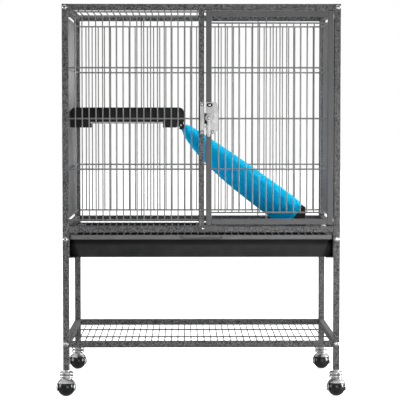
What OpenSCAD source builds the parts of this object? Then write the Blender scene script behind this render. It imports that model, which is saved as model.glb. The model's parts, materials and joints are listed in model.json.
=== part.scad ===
// Single-storey wire pet cage on a wheeled stand: tube frame, wire panels, hinged door,
// pull-out floor tray and grate, half-width platform with a fleece-covered ramp, storage shelf.
// The origin is on the floor under the middle of the outline. +X is to the right seen from the
// door side, +Y to the back and +Z up.

/* [Frame] */
// Width over the outer faces of the corner posts
frame_w = 787; // [720:1:900]
// Depth over the outer faces of the corner posts
frame_d = 520; // [450:1:620]
// Height of the frame top above the ground
frame_h = 1111; // [1060:1:1250]
// Side of the square frame tube
post_size = 18; // [17:0.5:20]
// Wall of every steel tube
tube_wall = 1.2; // [0.9:0.1:1.5]
// Outer corner radius of every steel tube
tube_corner = 1.6; // [1.6:0.1:2.4]
// Side of the square post between the wire panel and the door
centre_post_size = 16; // [15:0.5:18]
// Height of the cage floor rail's underside above the ground
floor_rail_z = 466; // [450:1:500]
// Height of the shelf rail's underside above the ground
shelf_rail_z = 138; // [120:1:220]
// Spacing of the two holes in the rear shelf rail
shelf_hole_spacing = 264; // [120:2:400]
// Place of the middle between these holes, to the right of the cage's middle
shelf_hole_x = -9; // [-60:1:60]
// Diameter of these holes
shelf_hole_d = 5; // [4:0.5:6]
// Diameter of the frame bolt shanks
bolt_d = 6; // [5:0.5:7]
// Diameter of the frame bolt heads
bolt_head_d = 14.5; // [12:0.5:16]
// Height of the frame bolt heads
bolt_head_h = 3.6; // [2.5:0.1:5]
// Thickness of the plastic post caps
cap_h = 2; // [1.5:0.1:3]

/* [Wire panels] */
// Diameter of the close-set wires
wire_d = 3.4; // [2.6:0.1:3.8]
// Diameter of the cross wires
cross_wire_d = 4.4; // [3.4:0.1:5]
// Spacing of the close-set wires
wire_pitch = 19.4; // [17:0.1:25]
// Height of the highest cross wire below the frame top
panel_top_gap = 35.5; // [30:0.5:45]
// Height of the lowest cross wire above the floor rail
panel_low_gap = 17.5; // [12:0.5:25]
// Depth that crossing wires are welded into each other
weld_sink = 0.5; // [0.3:0.1:0.8]

/* [Door] */
// Side of the square door tube
door_tube = 16; // [14:0.5:17]
// Gap between the centre post and the door
latch_side_gap = 5; // [4:0.5:8]
// Gap between the door and the right corner post
hinge_side_gap = 2.5; // [2:0.1:4]
// Gap between the door and the top rail
door_top_gap = 1.3; // [1:0.1:4]
// Gap between the door and the floor rail
door_low_gap = 4.2; // [3:0.1:6]
// Distance of the hinge pins from the hinge edge of the door
hinge_inset = 26; // [24:1:40]
// Diameter of the hinge pins
hinge_pin_d = 6; // [5:0.5:7]
// Outer diameter of the hinge washers
washer_d = 15; // [12:0.5:16]
// Radial clearance of every pin in its bore
pin_clear = 0.05; // [0.03:0.01:0.08]
// Height of the outer door wires inside the door tubes
door_wire_inset = 18; // [14:0.5:24]

/* [Latch] */
// Height of the latch plates
latch_h = 90; // [80:1:110]
// Width of the latch plate on the door
latch_w = 35.5; // [32:0.5:40]
// Thickness of the latch plate on the door
latch_plate_t = 3.5; // [3:0.1:5]
// Width of the keeper plate on the centre post
keeper_w = 10.5; // [9.5:0.1:12]
// Width of the latch lever
lever_w = 8.5; // [8:0.1:10]
// Diameter of the lever's round head
lever_head_d = 20; // [16:0.5:21]
// Length of the latch lever below its pivot
lever_l = 53; // [48:0.5:60]
// Thickness of the latch lever
lever_t = 3; // [2.5:0.1:4]
// Reach of the lever's nose to the side of its pivot
lever_nose = 11.7; // [10.8:0.1:12.2]
// Diameter of the small screws
screw_d = 4; // [3:0.1:4.5]
// Diameter of the small screw heads
screw_head_d = 8; // [7:0.1:10]

/* [Tray] */
// Height of the grey tray rim
rim_h = 12.4; // [10:0.1:15]
// Gap between the floor grate and the underside of the floor rail
grate_play = 0.4; // [0.3:0.1:4]
// Distance of the grate's end wires from its front and rear edges
grate_end_inset = 65; // [20:5:90]
// Depth of the tray pan under its rim
pan_h = 50.6; // [35:0.1:70]
// Wall of the tray pan
pan_wall = 2.5; // [2:0.1:4]
// Corner cut of the pan at its top
pan_cut_top = 9; // [6:0.5:14]
// Corner cut of the pan at its bottom
pan_cut_low = 27; // [20:0.5:40]
// Half the length of the wire pull
pull_half = 58; // [50:1:80]
// Reach of the wire pull in front of the rim
pull_reach = 15; // [12:0.5:25]
// Diameter of the wire pull
pull_d = 4; // [3:0.1:5]
// Length of the tray catch between its pivot and the middle of its end disc
catch_l = 34; // [30:0.5:40]
// Width of the tray catch at its pivot
catch_w = 21; // [18:0.5:23]
// Diameter of the catch's end disc
catch_disc_d = 20; // [16:0.5:22]
// Place of the catch's pivot to the right of the middle
catch_x = 3; // [-20:1:20]
// Thickness of the tray catch
catch_t = 2; // [1.5:0.1:3]

/* [Platform] */
// Width of the platform
platform_w = 323; // [280:1:330]
// Height of the platform's underside above the cage floor rail
platform_rise = 313; // [280:1:380]
// Height of the platform's walls
platform_h = 41; // [30:0.5:50]
// Wall of the platform
platform_wall = 3; // [2.5:0.1:5]
// Corner radius of the platform's front
platform_corner = 15; // [10:0.5:20]
// Height of the feet under the platform's ends
platform_foot_h = 16; // [13:0.5:20]
// Width of the left foot under the platform
left_foot_w = 58; // [40:1:70]
// Width of the right foot under the platform
right_foot_w = 39; // [25:1:50]
// Width of the two rear feet under the platform
rear_foot_w = 28; // [20:1:40]
// Distance of the right feet from the platform's right side
right_foot_inset = 21; // [18:1:40]
// Width of the clips that hold the platform on the cross wires
clip_w = 13; // [10:0.5:20]

/* [Ramp] */
// Slope of the ramp
ramp_angle = 34.5; // [32:0.5:38]
// Width of the ramp
ramp_w = 165; // [130:1:200]
// Place of the ramp's middle in front of the cage's middle
ramp_forward = 8; // [-20:1:40]
// Height of the ramp's lower edge above the grate
ramp_end_h = 63; // [50:1:80]
// Thickness of the ramp board
board_t = 12; // [10:0.5:16]
// Thickness of the fleece over the board
fleece_t = 4; // [3:0.5:6]
// How far the fleece puffs up over the middle of the board
fleece_crown = 7; // [0:0.5:10]
// Depth of the fleece sleeve under the ramp's top at the hook
sleeve_start = 20; // [17:0.5:24]
// Depth of the fleece sleeve under the ramp's top at its fullest
sleeve_depth = 86; // [70:1:90]
// Diameter of the hinge rod
ramp_rod_d = 6; // [5:0.5:7]

/* [Casters] */
// Diameter of the caster ball
ball_d = 50; // [44:1:60]
// Wall of the caster hood
hood_wall = 2.4; // [1.5:0.1:3.5]
// Gap between the ball and its hood
hood_gap = 0.9; // [0.6:0.1:1.4]
// Horizontal distance between the stem and the middle of the ball
caster_trail = 10; // [8:0.5:12]
// Diameter of the swivel housing
swivel_d = 40; // [34:1:44]
// Height of the swivel housing
swivel_h = 18.6; // [16:0.1:24]
// Height of the bright neck under each post
neck_h = 5.1; // [4:0.1:8]
// Diameter of the caster stem
stem_d = 10; // [8:0.5:11]
// Diameter of the ball's axle
axle_d = 6; // [5:0.5:8]

/* [Hidden] */
$fn = 48;
wire_sides = 8;          // wires are drawn as eight-sided bars
seat_gap = 0.3;          // gap between seated pieces that move against each other
eps = 0.01;
cut = 1;                 // how far a cutting shape passes the face that it cuts

// frame
half_w = frame_w / 2;
inner_x = half_w - post_size;
post_x = half_w - post_size / 2;
front_y = -frame_d / 2 + caster_trail;
rear_y = front_y + frame_d;
front_post_y = front_y + post_size / 2;
rear_post_y = rear_y - post_size / 2;
inner_front_y = front_y + post_size;
inner_rear_y = rear_y - post_size;
housing_z = ball_d;
caster_h = housing_z + swivel_h + seat_gap + neck_h;
top_mid_z = frame_h - post_size / 2;
floor_mid_z = floor_rail_z + post_size / 2;
floor_top_z = floor_rail_z + post_size;
shelf_mid_z = shelf_rail_z + post_size / 2;
top_low_z = frame_h - post_size;
bolt_r = bolt_d / 2;
plate_t = 3;             // threaded plate in the end of a bolted rail
shank_l = post_size + plate_t + 2;

// tray, grate and their runners
grate_h = 2 * wire_d - weld_sink;
rim_top_z = floor_rail_z - grate_play - grate_h - 2 * seat_gap;
rim_low_z = rim_top_z - rim_h;
pan_low_z = rim_low_z - pan_h;
runner_rail_mid_z = rim_low_z;
tray_side_gap = 3.5;
tray_x = inner_x - tray_side_gap;
pan_side_inset = 0.5;    // the pan's sides lie this far inside the rim's
pan_end_inset = 2;       // the pan's front and rear lie this far inside the rim's
pan_draft = 1;           // how far the pan's sides draw in towards its floor
tray_front_y = front_y + 1;
tray_rear_y = rear_y - 4;
pull_bend = 8;
pull_rise = 7.4;         // the wire pull's height on the rim
pull_droop = 18;         // angle that the wire pull droops
rim_wall = 1.5;
rim_flange = 12;
rim_corner = 6;
rim_seat = pan_end_inset + pan_wall + 2;
runner_t = 1.5;
runner_ledge = 22;
bolt_zs = [top_mid_z, runner_rail_mid_z, shelf_mid_z];
grate_wire_z = rim_top_z + 2 * seat_gap + wire_d / 2;
grate_cross_z = grate_wire_z + wire_d - weld_sink;
grate_top_z = grate_cross_z + wire_d / 2;
grate_front_y = front_y + 2;
grate_rear_y = rear_y - 4;
grate_crosses = 4;

// wire panels
shelf_wire_z = shelf_rail_z + tube_corner + wire_d / 2;
panel_low_z = floor_top_z + panel_low_gap;
panel_high_z = frame_h - panel_top_gap;
row_step = (panel_high_z - panel_low_z) / 4;
panel_rows = [for (i = [0:4]) panel_low_z + i * row_step];
weld_step = (wire_d + cross_wire_d) / 2 - weld_sink;
panel_inset = post_size / 2;

// door
door_x0 = centre_post_size / 2 + latch_side_gap;
door_x1 = inner_x - hinge_side_gap;
door_z0 = floor_top_z + door_low_gap;
door_z1 = top_low_z - door_top_gap;
door_mid_y = front_y + door_tube / 2;
door_in_x0 = door_x0 + door_tube;
door_in_x1 = door_x1 - door_tube;
door_in_z0 = door_z0 + door_tube;
door_in_z1 = door_z1 - door_tube;
hinge_x = door_x1 - hinge_inset;
pin_r = hinge_pin_d / 2;
pin_bore = pin_r + pin_clear;
pin_hold = 10;           // how far a pin reaches into a tube

// latch
latch_mid_z = (door_z0 + door_z1) / 2;
latch_z0 = latch_mid_z - latch_h / 2;
latch_z1 = latch_mid_z + latch_h / 2;
latch_x0 = door_x0 - 1;
pivot_inset = 7.5;       // the pivot's distance from the door's edge
pivot_x = door_x0 + pivot_inset;
pivot_z = latch_mid_z;
pivot_r = 2.5;
nose_drop = 25;          // the nose's height under the pivot
nose_h = 12;
keeper_gap = 5.5;        // gap between the keeper and the latch plate
keeper_x1 = latch_x0 - keeper_gap;
keeper_x0 = keeper_x1 - keeper_w;
keeper_t = 2;
keeper_screw_inset = 6;  // height of the keeper screws inside the plate's ends
lever_y = front_y - latch_plate_t - seat_gap - lever_t;
keeper_lip_y = lever_y - seat_gap - keeper_t;
screw_r = screw_d / 2;
screw_in = 5;
keeper_screw_x = (keeper_x0 + keeper_x1) / 2;
keeper_screws_xz = [for (z = [latch_z1 - keeper_screw_inset, latch_z0 + keeper_screw_inset])
    [keeper_screw_x, z]];
screw_margin = 2;        // bare metal between a screw head and the nearest edge
lip_z0 = latch_z0 + keeper_screw_inset + screw_head_d / 2 + screw_margin;
lip_h = pivot_z + lever_w - lip_z0;
case_screw = [door_x0 + door_tube / 2 + screw_margin, latch_z1 - screw_head_d / 2 - 2 * screw_margin];
case_rivet = [pivot_x + lever_w / 2 + screw_head_d / 2 + screw_margin,
    latch_z0 + screw_head_d / 2 + screw_margin];
spring_wire_r = 0.6;
spring_drop = 20;        // how far under the pivot the spring touches the lever
spring_rise = 15;        // how far over the pivot the spring is fixed
spring_side = 18;        // how far beside the pivot the spring is fixed
spring_seat = [pivot_x + spring_side, pivot_z + spring_rise];
spring_tip = [pivot_x + lever_w / 2 + spring_wire_r + seat_gap, pivot_z - spring_drop];

// tray catch
catch_z = floor_rail_z + catch_w / 2 + seat_gap;
catch_y = front_y - seat_gap - catch_t;
catch_bore = screw_r + pin_clear;

// platform and ramp
platform_x0 = -inner_x + tray_side_gap;
platform_x1 = platform_x0 + platform_w;
platform_z0 = floor_rail_z + platform_rise;
platform_z1 = platform_z0 + platform_h;
platform_end_gap = 2;    // gap between the platform and the faces of the rails
platform_y0 = inner_front_y + platform_end_gap;
platform_y1 = inner_rear_y - platform_end_gap;
foot_z0 = platform_z0 - platform_foot_h;
foot_len = 60;
right_foot_x1 = platform_x1 - right_foot_inset;
front_feet = [[platform_x0, platform_x0 + left_foot_w], [right_foot_x1 - right_foot_w, right_foot_x1]];
rear_feet = [[platform_x0, platform_x0 + rear_foot_w], [right_foot_x1 - rear_foot_w, right_foot_x1]];
bar_h = 5;
bar_t = 8;
clip_inset = 75;         // distance of the clips' middles from the platform's sides
clip_xs = [platform_x0 + clip_inset, platform_x1 - clip_inset];
clip_drop = 1;           // how far the clips reach under the platform's floor
clip_top_gap = 8;        // how far the clips end under the platform's top
clip_z0 = platform_z0 - clip_drop;
clip_z1 = platform_z1 - clip_top_gap;
panel_cross_front_y = front_y + panel_inset + weld_step / 2;
panel_cross_rear_y = rear_y - panel_inset - weld_step / 2;
clip_row_z = panel_rows[2];

ramp_y = (front_y + rear_y) / 2 - caster_trail - ramp_forward;
ramp_x = platform_x1 - 9;
ramp_z = platform_z0 - 10;
rod_r = ramp_rod_d / 2;
knuckle_r = rod_r + 4;
lug_t = 6;
lug_gap = 1;
top_rise = 9;            // the fleece's top over the hinge line at the ramp's ends
board_top = top_rise - fleece_t;
hook_l = 9;              // the black part of the ramp above the fleece
hook_top = 7;            // its top over the hinge line
sole_z = grate_top_z + seat_gap;
ramp_l = (ramp_z + top_rise * cos(ramp_angle) - grate_top_z - ramp_end_h) / sin(ramp_angle);
foot_l = 10;             // the black part of the ramp below the fleece
sleeve_l = ramp_l - foot_l - hook_l;
board_side = 21;         // how far the board's edges lie inside the sleeve's round sides
board_w = ramp_w - 2 * board_side;
sleeve_fall = 130;       // how fast the sleeve reaches its full depth
sleeve_rings = 18;
sleeve_sides = 28;
sleeve_bulge = 30;       // how far under the top the sleeve is widest

// casters
ball_r = ball_d / 2;
hood_in_r = ball_r + hood_gap;
hood_out_r = hood_in_r + hood_wall;
stem_r = stem_d / 2;
axle_r = axle_d / 2;
hood_low_z = ball_r - 9;
mouth_top_z = ball_r + 14;
mouth_half = ball_r - 2;
bore_floor_z = housing_z + 4;

// colours
hammertone = [0.36, 0.36, 0.37];
smooth_grey = [0.47, 0.47, 0.48];
wire_grey = [0.58, 0.58, 0.59];
zinc = [0.78, 0.78, 0.79];
chrome = [0.82, 0.82, 0.84];
black_plastic = [0.11, 0.11, 0.12];
pan_black = [0.2, 0.2, 0.2];
fleece_blue = [0.02, 0.52, 0.78];

// ---------- shared shapes ----------

// A rectangle around the origin with true round corners
module round_rect(w, h, r) {
    square([w - 2 * r, h], center = true);
    square([w, h - 2 * r], center = true);
    for (sx = [-1, 1], sy = [-1, 1])
        translate([sx * (w / 2 - r), sy * (h / 2 - r)]) circle(r);
}

module tube_section(size) {
    difference() {
        round_rect(size, size, tube_corner);
        square(size - 2 * tube_wall, center = true);
    }
}

module along_x(x, y, z) {
    translate([x, y, z]) rotate([90, 0, 90]) children();
}

module along_y(x, y, z) {
    translate([x, y, z]) rotate([-90, 0, 0]) children();
}

module tube_x(x0, x1, y, z, size) {
    along_x(x0, y, z) linear_extrude(x1 - x0) tube_section(size);
}

module tube_y(x, y0, y1, z, size) {
    along_y(x, y0, z) linear_extrude(y1 - y0) tube_section(size);
}

module tube_z(x, y, z0, z1, size) {
    translate([x, y, z0]) linear_extrude(z1 - z0) tube_section(size);
}

module wire_x(x0, x1, y, z, d) {
    along_x(x0, y, z) cylinder(d = d, h = x1 - x0, $fn = wire_sides);
}

module wire_y(x, y0, y1, z, d) {
    along_y(x, y0, z) cylinder(d = d, h = y1 - y0, $fn = wire_sides);
}

module wire_z(x, y, z0, z1, d) {
    translate([x, y, z0]) cylinder(d = d, h = z1 - z0, $fn = wire_sides);
}

// A round hole through the front wall of a tube, seen from the front
module front_hole(x, z, r, depth) {
    along_y(x, front_y - cut, z) cylinder(r = r, h = depth + cut);
}

function gaps_in(span) = round(span / wire_pitch);

// Upright wires and cross wires of a panel that spans 0 to span, outer face towards -Y.
// The wires whose numbers are in tall reach from low_end to high_end.
module panel(span, rows, tall, low_end, high_end) {
    count = gaps_in(span);
    for (z = rows) wire_x(0, span, weld_step / 2, z, cross_wire_d);
    for (i = [1:count - 1]) {
        is_tall = len([for (t = tall) if (t == i) t]) > 0;
        z0 = is_tall ? low_end : rows[0] - cross_wire_d / 2;
        z1 = is_tall ? high_end : rows[len(rows) - 1] + cross_wire_d / 2;
        wire_z(i * span / count, -weld_step / 2, z0, z1, wire_d);
    }
}

// Front-to-back wires of a level panel, with cross wires of diameter d at the height cross_z
module level_panel(x0, x1, y0, y1, z, crosses, cross_z, d = cross_wire_d) {
    count = gaps_in(x1 - x0);
    step = (x1 - x0) / count;
    for (i = [1:count - 1]) wire_y(x0 + i * step, y0, y1, z, wire_d);
    for (y = crosses) wire_x(x0, x1, y, cross_z, d);
}

// A closed solid between two outlines with as many points each
module loft(low, high, z0, z1) {
    n = len(low);
    points = concat([for (p = low) [p[0], p[1], z0]], [for (p = high) [p[0], p[1], z1]]);
    sides = [for (i = [0:n - 1]) [i, (i + 1) % n + n, (i + 1) % n]];
    more_sides = [for (i = [0:n - 1]) [i, i + n, (i + 1) % n + n]];
    lid = [for (i = [1:n - 2]) [n, n + i + 1, n + i]];
    base = [for (i = [1:n - 2]) [0, i, i + 1]];
    polyhedron(points, concat(sides, more_sides, lid, base));
}

// ---------- frame ----------

module post(x, y) {
    color(hammertone) difference() {
        tube_z(x, y, caster_h, frame_h - cap_h, post_size);
        for (z = bolt_zs)
            along_y(x, y - post_size, z) cylinder(r = bolt_r + pin_clear, h = 2 * post_size);
    }
}

module post_caps() {
    plug = post_size - 2 * tube_wall - 2 * seat_gap;
    plug_h = 3;
    color(black_plastic)
        for (sx = [-1, 1], y = [front_post_y, rear_post_y]) translate([sx * post_x, y, 0]) {
            translate([0, 0, frame_h - cap_h]) linear_extrude(cap_h)
                round_rect(post_size, post_size, tube_corner);
            translate([0, 0, frame_h - cap_h - plug_h]) linear_extrude(plug_h + eps)
                square(plug, center = true);
        }
}

module front_top_rail() {
    color(hammertone) difference() {
        tube_x(-inner_x, inner_x, front_post_y, top_mid_z, post_size);
        translate([hinge_x, door_mid_y, top_low_z - cut])
            cylinder(r = pin_bore, h = tube_wall + 2 * cut);
    }
}

module front_floor_rail() {
    color(hammertone) difference() {
        tube_x(-inner_x, inner_x, front_post_y, floor_mid_z, post_size);
        translate([hinge_x, door_mid_y, floor_top_z - tube_wall - cut])
            cylinder(r = pin_bore, h = tube_wall + 2 * cut);
        front_hole(catch_x, catch_z, catch_bore, tube_wall + cut);
    }
}

module front_shelf_rail() {
    color(hammertone) tube_x(-inner_x, inner_x, front_post_y, shelf_mid_z, post_size);
}

module centre_post() {
    color(hammertone) difference() {
        tube_z(0, front_y + centre_post_size / 2, floor_top_z, top_low_z, centre_post_size);
        for (p = keeper_screws_xz) front_hole(p[0], p[1], catch_bore, tube_wall + cut);
    }
}

module rear_rail(z) {
    color(hammertone) tube_x(-inner_x, inner_x, rear_post_y, z, post_size);
}

// The rear shelf rail has two small holes in its front wall
module rear_shelf_rail() {
    hole_r = shelf_hole_d / 2;
    color(hammertone) difference() {
        tube_x(-inner_x, inner_x, rear_post_y, shelf_mid_z, post_size);
        for (x = [shelf_hole_x - shelf_hole_spacing / 2, shelf_hole_x + shelf_hole_spacing / 2])
            along_y(x, inner_rear_y - cut, shelf_mid_z) cylinder(r = hole_r, h = tube_wall + 2 * cut);
    }
}

module side_rail(side, z) {
    color(hammertone) tube_y(side * post_x, inner_front_y, inner_rear_y, z, post_size);
}

// A side rail that is bolted on: each end holds a threaded plate
module bolted_side_rail(side, z) {
    plate = post_size - 2 * tube_wall + eps;
    color(hammertone) difference() {
        union() {
            tube_y(side * post_x, inner_front_y, inner_rear_y, z, post_size);
            for (y = [inner_front_y, inner_rear_y - plate_t])
                along_y(side * post_x, y, z) linear_extrude(plate_t) square(plate, center = true);
        }
        along_y(side * post_x, inner_front_y - cut, z)
            cylinder(r = bolt_r + pin_clear, h = frame_d);
    }
}

module both_sides(z) {
    for (side = [-1, 1]) bolted_side_rail(side, z);
}

// Angles that carry the pan on their ledge and the grate on their upper edge
module tray_runners() {
    ledge_z = pan_low_z - seat_gap - runner_t;
    runner_y0 = front_y + 2;
    color(hammertone) for (side = [-1, 1])
        translate([0, runner_y0, 0]) rotate([-90, 0, 0]) linear_extrude(frame_d - 4) mirror([0, 1])
            for (p = [[runner_t, rim_top_z + seat_gap - ledge_z], [runner_ledge, runner_t]])
                translate([side > 0 ? inner_x - p[0] : -inner_x, ledge_z]) square(p);
}

module frame_bolts() {
    color(smooth_grey) for (side = [-1, 1], z = bolt_zs, back = [0, 1])
        translate([side * post_x, back ? rear_y : front_y, z]) rotate([back ? 90 : -90, 0, 0]) {
            cylinder(r = bolt_r, h = shank_l);
            bolt_head();
        }
}

// A domed head that stands in front of z = 0
module bolt_head() {
    r = bolt_head_d / 2;
    dome_r = (r * r + bolt_head_h * bolt_head_h) / (2 * bolt_head_h);
    translate([0, 0, -bolt_head_h]) intersection() {
        translate([0, 0, dome_r]) sphere(dome_r);
        cylinder(r = r, h = bolt_head_h);
    }
}

// ---------- wire panels ----------

module front_grille() {
    color(wire_grey) translate([-inner_x, front_y + panel_inset, 0])
        panel(inner_x - centre_post_size / 2, panel_rows, [], 0, 0);
}

module rear_grille() {
    span = 2 * inner_x;
    near = round(gaps_in(span) / 4);
    color(wire_grey) translate([inner_x, rear_y - panel_inset, 0]) rotate([0, 0, 180])
        panel(span, panel_rows, [near, gaps_in(span) - near], floor_top_z, top_low_z);
}

module side_grille(side) {
    span = inner_rear_y - inner_front_y;
    color(wire_grey)
        translate([side * post_x, side > 0 ? inner_front_y : inner_rear_y, 0])
            rotate([0, 0, side * 90]) panel(span, panel_rows, [], 0, 0);
}

module roof_grille() {
    color(wire_grey)
        level_panel(-inner_x, inner_x, inner_front_y, inner_rear_y, top_mid_z,
            [(inner_front_y + inner_rear_y) / 2], top_mid_z + weld_step);
}

module shelf_grate() {
    third = (inner_rear_y - inner_front_y) / 3;
    color(wire_grey)
        level_panel(-inner_x, inner_x, inner_front_y, inner_rear_y, shelf_wire_z,
            [inner_front_y + third, inner_front_y + 2 * third], shelf_wire_z + weld_step);
}

// The loose grate over the tray; its outermost wires lie on the runners
module floor_grate() {
    border = inner_x - seat_gap - wire_d / 2;
    first = grate_front_y + grate_end_inset;
    gap = (grate_rear_y - grate_end_inset - first) / (grate_crosses - 1);
    color(wire_grey) {
        level_panel(-border, border, grate_front_y, grate_rear_y, grate_wire_z,
            [for (i = [0:grate_crosses - 1]) first + i * gap], grate_cross_z, wire_d);
        for (side = [-1, 1])
            wire_y(side * border, grate_front_y, grate_rear_y, grate_wire_z, wire_d);
    }
}

// ---------- door ----------

module door_latch_stile() {
    color(smooth_grey) difference() {
        tube_z(door_x0 + door_tube / 2, door_mid_y, door_z0, door_z1, door_tube);
        front_hole(case_screw[0], case_screw[1], catch_bore, tube_wall + cut);
        front_hole(pivot_x, pivot_z, pivot_r + pin_clear, tube_wall + cut);
    }
}

module door_hinge_stile() {
    color(smooth_grey) tube_z(door_x1 - door_tube / 2, door_mid_y, door_z0, door_z1, door_tube);
}

module door_tube_at(z, hole_z) {
    color(smooth_grey) difference() {
        tube_x(door_in_x0, door_in_x1, door_mid_y, z, door_tube);
        translate([hinge_x, door_mid_y, hole_z - cut]) cylinder(r = pin_bore, h = tube_wall + 2 * cut);
    }
}

module door_top_tube() {
    door_tube_at(door_z1 - door_tube / 2, door_z1 - tube_wall);
}

module door_low_tube() {
    door_tube_at(door_z0 + door_tube / 2, door_z0);
}

module door_grille() {
    span = door_in_x1 - door_in_x0;
    middle = floor(gaps_in(span) / 2);
    rows = [door_in_z0 + door_wire_inset, panel_rows[1], panel_rows[2], panel_rows[3],
        door_in_z1 - door_wire_inset];
    color(wire_grey) translate([door_in_x0, door_mid_y, 0])
        panel(span, rows, [middle], door_in_z0, door_in_z1);
}

module hinge_pins() {
    color(zinc) {
        translate([hinge_x, door_mid_y, door_z1 - pin_hold])
            cylinder(r = pin_r, h = door_top_gap + 2 * pin_hold);
        translate([hinge_x, door_mid_y, floor_top_z - pin_hold])
            cylinder(r = pin_r, h = door_low_gap + 2 * pin_hold);
    }
}

module washer(z, h) {
    translate([hinge_x, door_mid_y, z]) difference() {
        cylinder(d = washer_d, h = h);
        translate([0, 0, -cut]) cylinder(r = pin_bore, h = h + 2 * cut);
    }
}

module hinge_washers() {
    color(zinc) {
        washer(floor_top_z, door_low_gap - seat_gap);
        washer(door_z1 + seat_gap, door_top_gap - seat_gap);
    }
}

// ---------- latch ----------

// A flat shape drawn in X and Z, given thickness t backwards from y
module upright_plate(y, t) {
    translate([0, y + t, 0]) rotate([90, 0, 0]) linear_extrude(t) children();
}

// The right edge of the latch plate, as shares of its width and height: full in the middle, cut
// off slantwise at its lower end and rounded at its upper end
case_shares = [[0.56, 0], [0.68, 0.02], [0.88, 0.08], [0.96, 0.13], [1, 0.22], [1, 0.66], [0.97, 0.8],
    [0.93, 0.91], [0.88, 0.97], [0.8, 1]];
case_edge = [for (s = case_shares) [latch_x0 + s[0] * latch_w, latch_z0 + s[1] * latch_h]];

module latch_case() {
    corner = 4;
    slot_w = 5;
    slot_h = 44;
    color(zinc) difference() {
        upright_plate(front_y - latch_plate_t, latch_plate_t) difference() {
            polygon(concat([[latch_x0, latch_z0 + corner], [latch_x0 + corner, latch_z0]],
                case_edge, [[latch_x0 + corner, latch_z1], [latch_x0, latch_z1 - corner]]));
            translate([latch_x0 - cut, pivot_z - nose_drop - nose_h / 2]) square([slot_w, slot_h]);
        }
        for (p = [case_screw, case_rivet]) front_case_hole(p, catch_bore);
        front_case_hole([pivot_x, pivot_z], pivot_r + pin_clear);
    }
}

module front_case_hole(p, r) {
    along_y(p[0], front_y - latch_plate_t - cut, p[1]) cylinder(r = r, h = latch_plate_t + 2 * cut);
}

// The lever hangs from its pivot: a round head, a tongue, and a nose that points at the keeper
module latch_lever() {
    half = lever_w / 2;
    tip_half = 2;
    color(zinc) difference() {
        upright_plate(lever_y, lever_t) {
            translate([pivot_x, pivot_z]) circle(d = lever_head_d);
            translate([pivot_x - half, pivot_z - lever_l + half]) square([lever_w, lever_l - half]);
            translate([pivot_x, pivot_z - lever_l + half]) circle(half);
            polygon([[pivot_x, pivot_z - nose_drop - nose_h / 2], [pivot_x, pivot_z - nose_drop + nose_h],
                [pivot_x - lever_nose, pivot_z - nose_drop + tip_half],
                [pivot_x - lever_nose, pivot_z - nose_drop - tip_half]]);
        }
        along_y(pivot_x, lever_y - cut, pivot_z)
            cylinder(r = pivot_r + pin_clear, h = lever_t + 2 * cut);
    }
}

// A plate with a lip that the lever's nose slides behind
module latch_keeper() {
    web = 3;
    color(zinc) difference() {
        union() {
            upright_plate(front_y - keeper_t, keeper_t)
                translate([keeper_x0, latch_z0]) square([keeper_w, latch_h]);
            upright_plate(keeper_lip_y, front_y - keeper_lip_y)
                translate([keeper_x0, lip_z0]) square([web, lip_h]);
            upright_plate(keeper_lip_y, keeper_t)
                translate([keeper_x0, lip_z0]) square([keeper_w, lip_h]);
        }
        for (p = keeper_screws_xz)
            along_y(p[0], keeper_lip_y - cut, p[1])
                cylinder(r = catch_bore, h = front_y - keeper_lip_y + 2 * cut);
    }
}

// A screw of shank length l whose head rests on the face at y
module screw(x, y, z, l) {
    head_h = 1.8;
    r = screw_head_d / 2;
    dome_r = (r * r + head_h * head_h) / (2 * head_h);
    translate([x, y, z]) rotate([-90, 0, 0]) {
        cylinder(r = screw_r, h = l);
        translate([0, 0, -head_h]) intersection() {
            translate([0, 0, dome_r]) sphere(dome_r);
            cylinder(r = r, h = head_h);
        }
    }
}

// The screw and the rivet of the latch plate and the lever's pivot pin
module latch_screws() {
    pin_head_r = 4.5;
    pin_head_h = 1.5;
    color(chrome) {
        screw(case_screw[0], front_y - latch_plate_t, case_screw[1], latch_plate_t + screw_in);
        screw(case_rivet[0], front_y - latch_plate_t, case_rivet[1], latch_plate_t);
        translate([pivot_x, lever_y - seat_gap, pivot_z]) rotate([-90, 0, 0]) {
            cylinder(r = pivot_r, h = front_y - lever_y + seat_gap + tube_wall);
            translate([0, 0, -pin_head_h]) cylinder(r = pin_head_r, h = pin_head_h);
        }
    }
}

// A sprung wire that presses the lever towards the keeper
module latch_spring() {
    seat_r = 2;
    wire_y_mid = lever_y + lever_t / 2;
    run = spring_tip - spring_seat;
    color(chrome) {
        along_y(spring_seat[0], lever_y, spring_seat[1])
            cylinder(r = seat_r, h = front_y - latch_plate_t - lever_y);
        translate([spring_seat[0], wire_y_mid, spring_seat[1]])
            rotate([0, atan2(run[0], run[1]), 0]) cylinder(r = spring_wire_r, h = norm(run));
    }
}

module front_screws() {
    color(chrome) {
        for (p = keeper_screws_xz) screw(p[0], front_y - keeper_t, p[1], keeper_t + screw_in);
        screw(catch_x, catch_y - seat_gap, catch_z, catch_t + 2 * seat_gap + screw_in);
    }
}

// ---------- tray ----------

// The pan's outline in plan, its corners cut by c and its sides moved in by inset
function pan_outline(c, inset) =
    let (x = tray_x - pan_side_inset - inset, y0 = tray_front_y + pan_end_inset + inset,
        y1 = tray_rear_y - pan_end_inset - inset)
    [[-x + c, y0], [x - c, y0], [x, y0 + c], [x, y1 - c], [x - c, y1], [-x + c, y1],
        [-x, y1 - c], [-x, y0 + c]];

module tray_pan() {
    color(pan_black) difference() {
        loft(pan_outline(pan_cut_low, pan_draft), pan_outline(pan_cut_top, 0), pan_low_z, rim_low_z);
        loft(pan_outline(pan_cut_low, pan_draft + pan_wall), pan_outline(pan_cut_top, pan_wall),
            pan_low_z + pan_wall, rim_low_z + cut);
    }
}

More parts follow.
